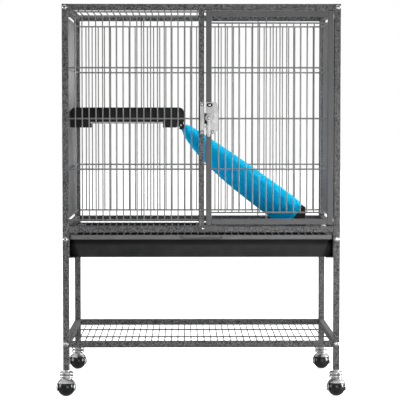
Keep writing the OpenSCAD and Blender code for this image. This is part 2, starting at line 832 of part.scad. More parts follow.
module tray_rim() {
    w = 2 * tray_x;
    d = tray_rear_y - tray_front_y;
    color(smooth_grey) translate([0, (tray_front_y + tray_rear_y) / 2, 0]) {
        translate([0, 0, rim_low_z]) linear_extrude(rim_h) difference() {
            round_rect(w, d, rim_corner);
            round_rect(w - 2 * rim_wall, d - 2 * rim_wall, rim_corner - rim_wall);
        }
        translate([0, 0, rim_top_z - rim_wall]) linear_extrude(rim_wall) difference() {
            round_rect(w - rim_wall, d - rim_wall, rim_corner - rim_wall / 2);
            square([w - 2 * rim_flange, d - 2 * rim_flange], center = true);
        }
        // the seat that stands on the pan's wall
        translate([0, 0, rim_low_z]) linear_extrude(rim_wall) difference() {
            round_rect(w - rim_wall, d - rim_wall, rim_corner - rim_wall / 2);
            round_rect(w - 2 * rim_seat, d - 2 * rim_seat, rim_corner - rim_wall);
        }
    }
}

// A bent wire: legs out of the rim, a round bend on each side and a long grip that droops a little
module tray_pull() {
    r = pull_d / 2;
    leg = pull_reach - r - pull_bend;
    grip_half = pull_half - pull_bend;
    color(smooth_grey) difference() {
        translate([0, tray_front_y, rim_low_z + pull_rise]) rotate([pull_droop, 0, 0]) {
            for (side = [-1, 1]) {
                translate([side * pull_half, r, 0]) rotate([90, 0, 0]) cylinder(r = r, h = leg + r);
                translate([side * grip_half, -leg, 0]) rotate([0, 0, side > 0 ? -90 : 180])
                    rotate_extrude(angle = 90) translate([pull_bend, 0]) circle(r);
            }
            translate([-grip_half, -leg - pull_bend, 0]) rotate([0, 90, 0])
                cylinder(r = r, h = 2 * grip_half);
        }
        translate([-frame_w, tray_front_y, 0]) cube([2 * frame_w, frame_d, frame_h]);
    }
}

// Turned aside, so that the tray is free; it hangs in front of the rim when it holds the tray
module tray_catch() {
    disc_r = catch_disc_d / 2;
    half = catch_w / 2;
    color(smooth_grey) difference() {
        upright_plate(catch_y, catch_t) {
            translate([catch_x, catch_z]) circle(half);
            translate([catch_x + catch_l, catch_z]) circle(disc_r);
            polygon([[catch_x, catch_z - half], [catch_x + catch_l, catch_z - disc_r * 0.7],
                [catch_x + catch_l, catch_z + disc_r * 0.7], [catch_x, catch_z + half]]);
        }
        along_y(catch_x, catch_y - cut, catch_z) cylinder(r = catch_bore, h = catch_t + 2 * cut);
    }
}

// ---------- platform ----------

// The platform seen from the front: round upper corners, square lower ones
module platform_front() {
    w = platform_w;
    translate([platform_x0, platform_z0]) {
        square([w, platform_h - platform_corner]);
        translate([platform_corner, 0]) square([w - 2 * platform_corner, platform_h]);
        for (x = [platform_corner, w - platform_corner])
            translate([x, platform_h - platform_corner]) circle(platform_corner);
    }
}

module platform() {
    depth = platform_y1 - platform_y0;
    wall = platform_wall;
    color(black_plastic) difference() {
        union() {
            upright_plate(platform_y0, depth) platform_front();
            platform_feet();
        }
        translate([platform_x0 + wall, platform_y0 + wall, platform_z0 + wall])
            cube([platform_w - 2 * wall, depth - 2 * wall, platform_h]);
    }
}

module platform_feet() {
    for (span = front_feet) foot_block(span, platform_y0);
    for (span = rear_feet) foot_block(span, platform_y1 - foot_len);
    for (side = [-1, 1]) ramp_lug(side);
}

module foot_block(span, y) {
    translate([span[0], y, foot_z0]) cube([span[1] - span[0], foot_len, platform_foot_h + eps]);
}

// An ear under the platform's right edge that holds an end of the ramp's hinge rod
module ramp_lug(side) {
    y = ramp_y + side * (ramp_w / 2 + lug_gap) + (side > 0 ? 0 : -lug_t);
    difference() {
        union() {
            along_y(ramp_x, y, ramp_z) cylinder(r = knuckle_r, h = lug_t);
            translate([ramp_x - knuckle_r, y, ramp_z])
                cube([2 * knuckle_r, lug_t, platform_z0 - ramp_z + eps]);
        }
        along_y(ramp_x, y - cut, ramp_z) cylinder(r = rod_r + pin_clear, h = lug_t + 2 * cut);
    }
}

// Clips on the front and back walls that sit on the middle cross wires
module platform_clips() {
    reach = cross_wire_d / 2 - weld_sink - seat_gap;
    color(black_plastic) for (x = clip_xs) {
        clip(x, panel_cross_front_y - reach, platform_y0, panel_cross_front_y);
        clip(x, platform_y1, panel_cross_rear_y + reach, panel_cross_rear_y);
    }
}

module clip(x, y0, y1, wire_mid_y) {
    notch = cross_wire_d + 2 * seat_gap;
    difference() {
        translate([x - clip_w / 2, y0, clip_z0]) cube([clip_w, y1 - y0, clip_z1 - clip_z0]);
        translate([x - clip_w / 2 - cut, wire_mid_y - notch / 2, clip_z0 - cut])
            cube([clip_w + 2 * cut, notch, clip_row_z + notch / 2 - clip_z0 + cut]);
    }
}

// Steel bars under the platform and the hinge rod of the ramp
module platform_bars() {
    color(zinc) {
        foot_bar(front_feet, platform_y0);
        foot_bar(rear_feet, platform_y1 - bar_t);
        rod_l = ramp_w + 2 * (lug_gap + lug_t);
        along_y(ramp_x, ramp_y - rod_l / 2, ramp_z) cylinder(r = rod_r, h = rod_l);
    }
}

// A bar from one foot to the other
module foot_bar(feet, y) {
    x0 = feet[0][1];
    translate([x0, y, platform_z0 - bar_h]) cube([feet[1][0] - x0, bar_t, bar_h]);
}

// ---------- ramp ----------

// Draws in the ramp's own frame: X down the slope from the hinge rod, Z out of its top
module on_ramp() {
    translate([ramp_x, ramp_y, ramp_z]) rotate([0, ramp_angle, 0]) children();
}

module ramp_board() {
    color(black_plastic) on_ramp()
        translate([hook_l, -board_w / 2, board_top - board_t])
            cube([ramp_l - foot_l - hook_l, board_w, board_t]);
}

// The lowest that the sleeve may reach at s along the ramp
function sole_at(s) = -(ramp_z - s * sin(ramp_angle) - sole_z) / cos(ramp_angle);
function sleeve_low(s) = max(sole_at(s),
    top_rise - sleeve_start - (sleeve_depth - sleeve_start) * (1 - exp(-(s - hook_l) / sleeve_fall)));
function sleeve_high(s) = top_rise + fleece_crown * sqrt(sin(180 * s / ramp_l));
function squared(v, power) = sign(v) * pow(abs(v), power);

// One ring of the sleeve: a rounded box whose lower half hangs fuller than its upper half
function sleeve_ring(s) =
    let (low = sleeve_low(s), high = sleeve_high(s), mid = high - min(sleeve_bulge, (high - low) / 2))
    [for (i = [0:sleeve_sides - 1])
        let (a = 360 * i / sleeve_sides, c = squared(cos(a), 0.5), v = squared(sin(a), 0.62))
        [s, c * ramp_w / 2, v > 0 ? mid + v * (high - mid) : mid + v * (mid - low)]];

module sleeve() {
    n = sleeve_sides;
    last = sleeve_rings * n;
    points = [for (k = [0:sleeve_rings]) each sleeve_ring(hook_l + sleeve_l * k / sleeve_rings)];
    skin = [for (k = [0:sleeve_rings - 1], i = [0:n - 1])
        let (a = k * n + i, b = k * n + (i + 1) % n) each [[a, b, b + n], [a, b + n, a + n]]];
    caps = [for (i = [1:n - 2]) each [[0, i + 1, i], [last, last + i, last + i + 1]]];
    polyhedron(points, concat(skin, caps));
}

module ramp_cover() {
    color(fleece_blue) on_ramp() difference() {
        sleeve();
        translate([0, -board_w / 2 - seat_gap, board_top - board_t - seat_gap])
            cube([ramp_l, board_w + 2 * seat_gap, board_t + 2 * seat_gap]);
    }
}

// The knuckle that hangs on the rod and the tongue that holds the board
module ramp_hook() {
    hook_w = ramp_w;
    slot_w = ramp_rod_d - 0.8;
    color(black_plastic) on_ramp() difference() {
        union() {
            along_y(0, -hook_w / 2, 0) cylinder(r = knuckle_r, h = hook_w);
            translate([0, -hook_w / 2, top_rise - sleeve_start])
                cube([hook_l, hook_w, sleeve_start - top_rise + hook_top]);
        }
        along_y(0, -hook_w / 2 - cut, 0) cylinder(r = rod_r + 2 * pin_clear, h = hook_w + 2 * cut);
        translate([-knuckle_r - cut, -hook_w / 2 - cut, -slot_w / 2])
            cube([knuckle_r + cut, hook_w + 2 * cut, slot_w]);
    }
}

// The black foot between the fleece's lower end and the grate
module ramp_foot() {
    start = ramp_l - foot_l;
    face = [ramp_x + start * cos(ramp_angle) + top_rise * sin(ramp_angle),
        ramp_z - start * sin(ramp_angle) + top_rise * cos(ramp_angle)];
    drop = face[1] - sole_z;
    end_x = face[0] + foot_l * cos(ramp_angle);
    color(black_plastic) upright_plate(ramp_y - ramp_w / 2 + 2, ramp_w - 4)
        polygon([face, [end_x, face[1] - foot_l * sin(ramp_angle)], [end_x, sole_z],
            [face[0] - drop * tan(ramp_angle), sole_z]]);
}

// ---------- casters ----------

module at_caster(corner) {
    x = (corner == "fl" || corner == "rl") ? -post_x : post_x;
    y = (corner == "fl" || corner == "fr") ? front_post_y : rear_post_y;
    translate([x, y, 0]) children();
}

module caster_stems() {
    plug = post_size - 2 * tube_wall - 2 * seat_gap;
    plug_h = 34;
    color(chrome) for (corner = ["fl", "fr", "rl", "rr"]) at_caster(corner) {
        translate([0, 0, bore_floor_z + 1]) cylinder(r = stem_r, h = caster_h - bore_floor_z - 1);
        translate([0, 0, caster_h - neck_h]) cylinder(d = post_size, h = neck_h);
        translate([0, 0, caster_h - eps]) linear_extrude(plug_h) square(plug, center = true);
    }
}

// The swivel housing's outline: two round bulges one over the other
module housing_half() {
    bulge = swivel_h / 4;
    difference() {
        union() {
            square([swivel_d / 2 - bulge, swivel_h]);
            for (z = [bulge, 3 * bulge]) translate([swivel_d / 2 - bulge, z]) circle(bulge);
        }
        translate([-swivel_d, -cut]) square([swivel_d, swivel_h + 2 * cut]);
    }
}

// A chrome hood over the upper half of the ball, open at the front and below
module caster_hood(corner) {
    size = 2 * hood_out_r + 2 * cut;
    color(chrome) at_caster(corner) difference() {
        union() {
            difference() {
                union() {
                    translate([0, -caster_trail, ball_r]) sphere(hood_out_r);
                    translate([0, 0, housing_z]) rotate_extrude() housing_half();
                }
                translate([0, -caster_trail, ball_r]) sphere(hood_in_r);
                translate([-size / 2, -caster_trail - size / 2, hood_low_z - size])
                    cube([size, size, size]);
                translate([-mouth_half, -caster_trail - size, mouth_top_z - size])
                    cube([2 * mouth_half, size, size]);
            }
            translate([-hood_in_r - hood_wall / 2, -caster_trail, ball_r]) rotate([0, 90, 0])
                cylinder(r = axle_r, h = 2 * hood_in_r + hood_wall);
        }
        translate([0, 0, bore_floor_z]) cylinder(r = stem_r + pin_clear, h = swivel_h);
    }
}

// Half of the ball's section, with the axle's bore left out
module ball_half() {
    bore = axle_r + pin_clear;
    intersection() {
        circle(ball_r);
        translate([bore, -ball_r]) square([ball_r, 2 * ball_r]);
    }
}

module caster_ball(corner) {
    color(black_plastic) at_caster(corner)
        translate([0, -caster_trail, ball_r]) rotate([0, 90, 0]) rotate_extrude() ball_half();
}

post(-post_x, front_post_y);  // post_front_left
post(post_x, front_post_y);  // post_front_right
post(-post_x, rear_post_y);  // post_rear_left
post(post_x, rear_post_y);  // post_rear_right
post_caps();
front_top_rail();
front_floor_rail();
front_shelf_rail();
centre_post();
rear_rail(top_mid_z);  // rear_top_rail
rear_rail(floor_mid_z);  // rear_floor_rail
rear_shelf_rail();
bolted_side_rail(-1, top_mid_z);  // left_top_rail
bolted_side_rail(1, top_mid_z);  // right_top_rail
side_rail(-1, floor_mid_z);  // left_floor_rail
side_rail(1, floor_mid_z);  // right_floor_rail
both_sides(shelf_mid_z);  // shelf_side_rails
both_sides(runner_rail_mid_z);  // runner_rails
tray_runners();
front_grille();
rear_grille();
side_grille(-1);  // left_grille
side_grille(1);  // right_grille
roof_grille();
shelf_grate();
floor_grate();
door_latch_stile();
door_hinge_stile();
door_top_tube();
door_low_tube();
door_grille();
hinge_pins();
hinge_washers();
latch_case();
latch_lever();
latch_keeper();
latch_screws();
latch_spring();
front_screws();
tray_pan();
tray_rim();
tray_pull();
tray_catch();
platform();
platform_clips();
platform_bars();
ramp_board();
ramp_cover();
ramp_hook();
ramp_foot();
frame_bolts();
caster_stems();
caster_hood("fl");  // caster_hood_fl
caster_hood("fr");  // caster_hood_fr
caster_hood("rl");  // caster_hood_rl
caster_hood("rr");  // caster_hood_rr
caster_ball("fl");  // caster_ball_fl
caster_ball("fr");  // caster_ball_fr
caster_ball("rl");  // caster_ball_rl
caster_ball("rr");  // caster_ball_rr
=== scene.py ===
import json
import math
import bpy
import bmesh
from mathutils import Matrix, Vector

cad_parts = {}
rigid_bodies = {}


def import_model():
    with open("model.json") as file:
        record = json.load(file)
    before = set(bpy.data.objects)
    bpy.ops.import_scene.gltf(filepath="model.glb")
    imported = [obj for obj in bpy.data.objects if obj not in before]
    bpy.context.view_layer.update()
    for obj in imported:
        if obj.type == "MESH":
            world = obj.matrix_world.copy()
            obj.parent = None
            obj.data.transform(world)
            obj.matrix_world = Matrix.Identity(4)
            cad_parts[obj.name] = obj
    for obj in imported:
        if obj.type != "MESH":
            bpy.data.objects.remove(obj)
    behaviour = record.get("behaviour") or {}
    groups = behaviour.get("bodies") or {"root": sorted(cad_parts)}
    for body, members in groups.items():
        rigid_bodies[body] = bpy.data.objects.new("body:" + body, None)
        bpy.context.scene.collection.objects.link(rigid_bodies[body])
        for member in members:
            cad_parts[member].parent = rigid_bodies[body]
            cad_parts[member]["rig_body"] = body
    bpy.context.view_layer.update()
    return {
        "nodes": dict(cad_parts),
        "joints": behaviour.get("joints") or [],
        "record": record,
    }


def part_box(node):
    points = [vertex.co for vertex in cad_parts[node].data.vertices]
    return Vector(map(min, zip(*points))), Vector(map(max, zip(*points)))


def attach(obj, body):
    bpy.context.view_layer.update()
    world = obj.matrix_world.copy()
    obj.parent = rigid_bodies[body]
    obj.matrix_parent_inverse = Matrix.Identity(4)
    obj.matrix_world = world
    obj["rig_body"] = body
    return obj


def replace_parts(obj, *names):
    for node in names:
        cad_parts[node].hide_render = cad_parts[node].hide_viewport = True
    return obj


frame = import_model()
nodes = frame["nodes"]
scene = bpy.context.scene
print("frame loaded:", len(nodes), "nodes")


# ---- camera, lamps and floor ----

view = {
    "place": (-0.048, -4.8, 0.788),      # a little left of the middle, at the platform's height
    "pitchDown": 2.891,                  # degrees
    "turnRight": 0.554,
    "lens": 144.83,
    "sensor": 36.0,
    "reach": 60,
}

cameraData = bpy.data.cameras.new("camera")
cameraData.lens = view["lens"]
cameraData.sensor_width = view["sensor"]
cameraData.clip_end = view["reach"]
camera = bpy.data.objects.new("camera", cameraData)
camera.location = view["place"]
camera.rotation_euler = (math.radians(90 - view["pitchDown"]), 0, -math.radians(view["turnRight"]))
scene.collection.objects.link(camera)
scene.camera = camera
scene.view_settings.view_transform = "Standard"


class Flow:  # one output socket, with arithmetic on it
    def __init__(self, tree, socket=None):
        self.tree = tree
        self.socket = socket

    def node(self, kind, settings={}, sockets={}, out=0):
        made = self.tree.nodes.new("ShaderNode" + kind)
        for name, value in settings.items():
            if name == "stops":
                held = made.color_ramp.elements
                for step, (place, colour) in enumerate(value):
                    stop = held[step] if step < 2 else held.new(place)
                    stop.position, stop.color = place, (*colour, 1)
            else:
                setattr(made, name, value)
        for name, value in sockets.items():
            if isinstance(value, Flow):
                self.tree.links.new(value.socket, made.inputs[name])
            else:
                made.inputs[name].default_value = value
        return Flow(self.tree, made.outputs[out] if made.outputs else None)

    def math(self, operation, first, second=0.0):
        return self.node("Math", {"operation": operation}, {0: first, 1: second})

    def __add__(self, other):
        return self.math("ADD", self, other)

    __radd__ = __add__

    def __sub__(self, other):
        return self.math("SUBTRACT", self, other)

    def __rsub__(self, other):
        return self.math("SUBTRACT", other, self)

    def __mul__(self, other):
        return self.math("MULTIPLY", self, other)


def startMaterial(name):
    material = bpy.data.materials.new(name)
    material.use_nodes = True
    material.node_tree.nodes.clear()
    return material, Flow(material.node_tree)


white = (1, 1, 1, 1)
stage = {
    "floorSize": 40.0,
    "floorColour": (0.8, 0.8, 0.8, 1),
    "floorGlow": 0.7,         # what lifts the lit floor to white for the camera, shadow kept
    "floorMirrored": 0.38,    # how bright the object mirrors it
    "room": ((0.3, 0.5), (0.5, 0.26), (0.66, 0.26), (0.82, 0.95)),  # light by height, from below to above
    "mirroredRoom": ((0.3, 0.5), (0.47, 0.3), (0.52, 0.08), (0.66, 0.16), (0.8, 0.95)),
    "roomPower": 0.84,
    "lampTarget": (0, 0, 0.6),
}
lamps = {                     # place, watts and size in metres
    "key": ((-1.3, -2.9, 3.6), 8.0, 2.2),
    "fill": ((0.45, -2.1, 0.42), 14.5, 1.1),
    "back": ((0.4, 2.8, 3.6), 92.0, 2.6),
    "side": ((2.6, 0.0, 0.6), 195.0, 1.6),
    "left": ((-2.6, -0.1, 0.45), 65.0, 1.6),
}


def makeWorld():
    world = bpy.data.worlds.new("studio")
    scene.world = world
    world.use_nodes = True
    tree = world.node_tree
    tree.nodes.clear()
    start = Flow(tree)
    direction = start.node("TexCoord", out="Generated")
    height = start.node("SeparateXYZ", {}, {"Vector": direction}, "Z") * 0.5 + 0.5
    room, mirroredRoom = (
        start.node("ValToRGB", {"stops": [(place, (level,) * 3) for place, level in stage[name]]},
                   {"Fac": height})
        for name in ("room", "mirroredRoom"))
    mirrored = start.node("LightPath", out="Is Glossy Ray")
    seen = start.node("LightPath", out="Is Camera Ray")
    lit = start.node("MixRGB", {}, {0: mirrored, 1: room, 2: mirroredRoom})
    shown = start.node("MixRGB", {}, {0: seen, 1: lit, 2: white})
    strength = seen * (1 - stage["roomPower"]) + stage["roomPower"]
    background = start.node("Background", {}, {"Color": shown, "Strength": strength})
    start.node("OutputWorld", {}, {"Surface": background})


def makeFloor():
    shape = bmesh.new()
    bmesh.ops.create_grid(shape, x_segments=1, y_segments=1, size=stage["floorSize"] / 2)
    mesh = bpy.data.meshes.new("floor")
    shape.to_mesh(mesh)
    shape.free()
    floor = bpy.data.objects.new("floor", mesh)
    scene.collection.objects.link(floor)
    material, start = startMaterial("paleFloor")
    seen = start.node("LightPath", out="Is Camera Ray")
    mirrored = start.node("LightPath", out="Is Glossy Ray")
    through = start.node("LightPath", out="Is Transmission Ray")
    direct = start.math("MAXIMUM", seen, through) * stage["floorGlow"]
    matte = start.node("BsdfDiffuse", {}, {"Color": stage["floorColour"]})
    glow = start.node("Emission", {}, {"Color": white, "Strength": direct})
    lit = start.node("AddShader", {}, {0: matte, 1: glow})
    dim = start.node("Emission", {}, {"Color": white, "Strength": stage["floorMirrored"]})
    surface = start.node("MixShader", {}, {0: mirrored, 1: lit, 2: dim})
    start.node("OutputMaterial", {}, {"Surface": surface})
    mesh.materials.append(material)


def makeLamp(name, place, power, size):
    data = bpy.data.lights.new(name + "Lamp", "AREA")
    data.energy = power
    data.size = size
    lamp = bpy.data.objects.new(name + "Lamp", data)
    lamp.location = place
    lamp.rotation_mode = "QUATERNION"
    lamp.rotation_quaternion = (Vector(stage["lampTarget"]) - lamp.location).to_track_quat("-Z", "Y")
    scene.collection.objects.link(lamp)


makeWorld()
makeFloor()
for lampName, (place, power, size) in lamps.items():
    makeLamp(lampName, place, power, size)
print("camera, lamps and floor ready")


# ---- finishes ----

def addNoise(start, place, scale, detail, out=0):
    return start.node("TexNoise", {}, {"Vector": place, "Scale": scale, "Detail": detail}, out)


def addBump(start, height, strength, distance):
    return start.node("Bump", {}, {"Height": height, "Strength": strength, "Distance": distance})


def finishMaterial(material, start, looks):
    start.node("OutputMaterial", {}, {"Surface": start.node("BsdfPrincipled", {}, looks)})
    return material


hammertone = {
    "cell": 0.0034,           # metres across one hammered fleck
    "patch": 0.05,
    "warp": 0.0024,           # how far noise pushes the cells out of line
    "blend": 0.35,            # smoothness between two cells
    "fleck": 0.8,             # flecks to a cell
    "shares": (0.9, 0.2, 1.3),    # of cells, patches and flecks in the depth of the tone
    "tones": ((0.12, (0.17, 0.17, 0.172)), (0.42, (0.07, 0.07, 0.071)), (0.8, (0.008, 0.008, 0.0085))),
    "dent": 0.00035,
}


def makeHammertone():
    material, start = startMaterial("hammertone")
    place = start.node("TexCoord", out="Object")
    perMetre = 1 / hammertone["cell"]
    warp = addNoise(start, place, perMetre, 1.0, "Color")
    bent = start.node("MixRGB", {"blend_type": "ADD"}, {0: hammertone["warp"], 1: place, 2: warp})
    cells = start.node("TexVoronoi", {"feature": "SMOOTH_F1"},
                       {"Vector": bent, "Scale": perMetre, "Smoothness": hammertone["blend"]}, "Distance")
    patches = addNoise(start, place, 1 / hammertone["patch"], 3.0)
    flecks = addNoise(start, place, hammertone["fleck"] / hammertone["cell"], 2.0)
    ofCells, ofPatches, ofFlecks = hammertone["shares"]
    depth = cells * ofCells + (patches - 0.5) * ofPatches + (flecks - 0.5) * ofFlecks
    colour = start.node("ValToRGB", {"stops": hammertone["tones"]}, {"Fac": depth})
    return finishMaterial(material, start, {
        "Base Color": colour, "Roughness": 0.42 + flecks * 0.22, "Metallic": 0.1,
        "Coat Weight": 0.06, "Coat Roughness": 0.22,
        "Normal": addBump(start, 1 - cells, 0.55, hammertone["dent"]),
    })


coat = {
    "speckle": 0.0016,
    "patch": 0.03,
    "shares": (0.55, 0.45),   # of patches and speckle in the tone
    "ends": (0.3, 0.7),       # tones at which the dark and the light colour are reached
    "peel": 0.00006,
}


def makeCoat(name, dark, light, rough, metal=0.1):
    material, start = startMaterial(name)
    place = start.node("TexCoord", out="Object")
    speckle = addNoise(start, place, 1 / coat["speckle"], 2.0)
    patches = addNoise(start, place, 1 / coat["patch"], 4.0)
    ofPatches, ofSpeckle = coat["shares"]
    tone = patches * ofPatches + speckle * ofSpeckle
    colour = start.node("ValToRGB", {"stops": tuple(zip(coat["ends"], (dark, light)))}, {"Fac": tone})
    return finishMaterial(material, start, {
        "Base Color": colour, "Roughness": rough + (patches - 0.5) * 0.2, "Metallic": metal,
        "Coat Weight": 0.08, "Coat Roughness": 0.3,
        "Normal": addBump(start, speckle, 0.4, coat["peel"]),
    })


metal = {
    "spangle": 0.006,
    "scratch": 0.0007,
    "stretch": (1, 1, 0.05),  # the scratches run upwards
    "ends": (0.1, 0.9),
    "depth": 0.00004,
}


def makeMetal(name, dark, light, rough, scratch, metallic=1.0):
    material, start = startMaterial(name)
    place = start.node("TexCoord", out="Object")
    spangle = start.node("TexVoronoi", {}, {"Vector": place, "Scale": 1 / metal["spangle"]}, "Color")
    grain = start.node("SeparateColor", {}, {"Color": spangle})
    stretched = start.node("Mapping", {}, {"Vector": place, "Scale": metal["stretch"]})
    lines = addNoise(start, stretched, 1 / metal["scratch"], 2.0)
    tone = grain * 0.5 + lines * 0.5
    colour = start.node("ValToRGB", {"stops": tuple(zip(metal["ends"], (dark, light)))}, {"Fac": tone})
    return finishMaterial(material, start, {
        "Base Color": colour, "Roughness": rough + (grain - 0.5) * rough * 0.5, "Metallic": metallic,
        "Normal": addBump(start, lines, scratch, metal["depth"]),
    })


plastic = {
    "grain": 0.0009,
    "patch": 0.045,
    "ends": (0.35, 0.75),
    "worn": (1.7, 0.004),     # the light patches' colour: this many times the dark one, plus this
    # the colour of the painted shadow under a rim
    "rimShadow": (0.002, 0.002, 0.0022),
    "rimShadowEdge": 0.004,        # how far the painted shadow's edge wanders, in metres
}


def makePlastic(name, colour, rough, grainDepth, rimShadowBand=None):  # the last argument: heights between which the painted shadow under a rim starts
    material, start = startMaterial(name)
    place = start.node("TexCoord", out="Object")
    grain = start.node("TexVoronoi", {"feature": "DISTANCE_TO_EDGE"},
                       {"Vector": place, "Scale": 1 / plastic["grain"]}, "Distance")
    patches = addNoise(start, place, 1 / plastic["patch"], 5.0)
    times, plus = plastic["worn"]
    light = tuple(times * part + plus for part in colour)
    shade = start.node("ValToRGB", {"stops": tuple(zip(plastic["ends"], (colour, light)))}, {"Fac": patches})
    # painted shadow: the colour turns dark close under the rim
    if rimShadowBand:
        height = start.node("SeparateXYZ", {}, {"Vector": place}, "Z") + (patches - 0.5) * plastic["rimShadowEdge"]
        share = start.node("MapRange", {"interpolation_type": "SMOOTHSTEP"},
                           {"Value": height, "From Min": rimShadowBand[0], "From Max": rimShadowBand[1]})
        shade = start.node("MixRGB", {}, {0: share, 1: shade, 2: (*plastic["rimShadow"], 1)})
    return finishMaterial(material, start, {
        "Base Color": shade, "Roughness": rough + (patches - 0.5) * 0.24, "Specular IOR Level": 0.16,
        "Normal": addBump(start, grain, 0.5, grainDepth),
    })


fleece = {
    "tuft": 0.0022,
    "tuftRough": 0.65,
    "curl": 0.6,              # curls to a tuft
    "patch": 0.018,
    "pile": (0.6, 0.4),       # shares of tufts and curls
    "shares": (0.3, 0.28, 0.42),      # of pile, patches and the painted light's height share in the tone
    "tones": ((0.2, (0.0, 0.36, 0.76)), (0.42, (0.0, 0.33, 0.64)), (0.8, (0.0, 0.3, 0.49))),
    "depth": 0.0016,
}


def makeFleece():
    material, start = startMaterial("fleece")
    place = start.node("TexCoord", out="Object")
    tufts = start.node("TexNoise", {}, {"Vector": place, "Scale": 1 / fleece["tuft"], "Detail": 4.0,
                                        "Roughness": fleece["tuftRough"]})
    curls = start.node("TexVoronoi", {"feature": "SMOOTH_F1"},
                       {"Vector": place, "Scale": fleece["curl"] / fleece["tuft"]}, "Distance")
    patches = addNoise(start, place, 1 / fleece["patch"], 3.0)
    ofTufts, ofCurls = fleece["pile"]
    pile = tufts * ofTufts + (1 - curls) * ofCurls
    lift = start.node("Attribute", {"attribute_name": "lift"}, out="Fac")    # 1 at the sleeve's upper edge; painted light: the fleece is coloured lighter towards its underside, where shade falls
    ofPile, ofPatches, ofPaintedLight = fleece["shares"]
    tone = pile * ofPile + patches * ofPatches + lift * ofPaintedLight
    colour = start.node("ValToRGB", {"stops": fleece["tones"]}, {"Fac": tone})
    return finishMaterial(material, start, {
        "Base Color": colour, "Roughness": 0.95, "Sheen Weight": 0.05, "Sheen Roughness": 0.5,
        "Sheen Tint": (0.0, 0.7, 1.0, 1), "Specular IOR Level": 0.04,
        "Normal": addBump(start, pile + patches * 0.5, 0.7, fleece["depth"]),
        "Subsurface Weight": 0.45, "Subsurface Radius": (0.3, 0.8, 1.0), "Subsurface Scale": 0.03,
    })


ball = {"smudge": 0.02, "tones": ((0.4, (0.006, 0.006, 0.007)), (0.8, (0.02, 0.02, 0.021)))}


def makeBall():
    material, start = startMaterial("casterBall")
    place = start.node("TexCoord", out="Object")
    smudge = addNoise(start, place, 1 / ball["smudge"], 5.0)
    shade = start.node("ValToRGB", {"stops": ball["tones"]}, {"Fac": smudge})
    return finishMaterial(material, start, {
        "Base Color": shade, "Roughness": 0.08 + smudge * 0.2, "Specular IOR Level": 0.3,
        "Coat Weight": 0.1, "Coat Roughness": 0.05,
    })


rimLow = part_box("tray_rim")[0].z
rimShadowHeights = (rimLow - 0.019, rimLow - 0.009)     # painted shadow: the pan's walls are darker close under its rim, where the rim's shade falls
finishes = {
    "hammertone": makeHammertone(),
    "smooth_grey": makeCoat("smoothGrey", (0.06, 0.06, 0.061), (0.095, 0.095, 0.097), 0.5),
    "wire_grey": makeCoat("wireGrey", (0.13, 0.13, 0.131), (0.2, 0.2, 0.202), 0.46, 0.15),
    "zinc": makeMetal("zinc", (0.4, 0.4, 0.4), (0.52, 0.52, 0.52), 0.46, 0.3, 0.3),
    "chrome": makeMetal("chrome", (0.46, 0.46, 0.47), (0.6, 0.6, 0.61), 0.34, 0.15),
    "black_plastic": makePlastic("blackPlastic", (0.006, 0.006, 0.0065), 0.42, 0.00012),
    "pan_black": makePlastic("panBlack", (0.013, 0.013, 0.0135), 0.5, 0.00008, rimShadowHeights),
    "fleece": makeFleece(),
}
ballFinish = makeBall()
# one grey wire coat, painted darker on the level panels (painted shade) and lighter on the side panels
# (painted light)
shadedLevelWire = makeCoat("shadedLevelWire", (0.085, 0.085, 0.086), (0.135, 0.135, 0.137), 0.5)
litSideWire = makeCoat("litSideWire", (0.15, 0.15, 0.151), (0.23, 0.23, 0.232), 0.5)
rimFinish = makeCoat("rimGrey", (0.095, 0.095, 0.096), (0.145, 0.145, 0.147), 0.5)
boltFinish = makeMetal("boltMetal", (0.42, 0.42, 0.425), (0.62, 0.62, 0.625), 0.24, 0.2, 0.9)

slots = {part["node"]: part["material_slot"] for part in frame["record"]["subparts"]}
for nodeName, slot in slots.items():
    mesh = nodes[nodeName].data
    mesh.materials.clear()
    mesh.materials.append(ballFinish if nodeName.startswith("caster_ball") else finishes[slot])
print("finishes made")


# ---- shared making ----

shaping = {
    "merge": 2e-6,            # metres within which two points of a CAD mesh are one
    "flat": 0.7,              # degrees under which two faces become one
    "sharp": 30,              # degrees from which an edge is rounded, or shows as an edge
}


def finishPiece(name, shape, body, finish, crease=shaping["sharp"]):
    mesh = bpy.data.meshes.new(name)
    shape.to_mesh(mesh)
    shape.free()
    mesh.shade_smooth()
    mesh.set_sharp_from_angle(angle=math.radians(crease))
    mesh.materials.append(finish)
    piece = bpy.data.objects.new(name, mesh)
    scene.collection.objects.link(piece)
    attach(piece, body)
    return piece


def mergedCopy(nodeName):  # a CAD node's mesh as one clean skin
    shape = bmesh.new()
    shape.from_mesh(nodes[nodeName].data)
    bmesh.ops.remove_doubles(shape, verts=shape.verts, dist=shaping["merge"])
    bmesh.ops.dissolve_limit(shape, angle_limit=math.radians(shaping["flat"]), verts=shape.verts,
                             edges=shape.edges)
    return shape


def roundEdges(shape, edges, width, segments=2):
    bmesh.ops.bevel(shape, geom=edges, offset=width, offset_type="OFFSET", segments=segments, profile=0.5,
                    affect="EDGES", material=-1, clamp_overlap=True)


def softCopy(nodeName, name, width, segments=2):
    shape = mergedCopy(nodeName)
    roundEdges(shape, [edge for edge in shape.edges if edge.is_manifold
                       and edge.calc_face_angle() > math.radians(shaping["sharp"])], width, segments)
    slot = slots[nodeName]
    finish = rimFinish if nodeName == "tray_rim" else finishes[slot]
    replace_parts(finishPiece(name, shape, nodes[nodeName]["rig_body"], finish), nodeName)


def pointing(start, end):  # a matrix whose Z runs from start to end, at their middle
    start, end = Vector(start), Vector(end)
    turn = (end - start).to_track_quat("Z", "Y").to_matrix().to_4x4()
    return Matrix.Translation((start + end) / 2) @ turn


def addRod(shape, start, end, radius, sides=10):
    bmesh.ops.create_cone(shape, cap_ends=True, segments=sides, radius1=radius, radius2=radius,
                          depth=(Vector(end) - Vector(start)).length, matrix=pointing(start, end))


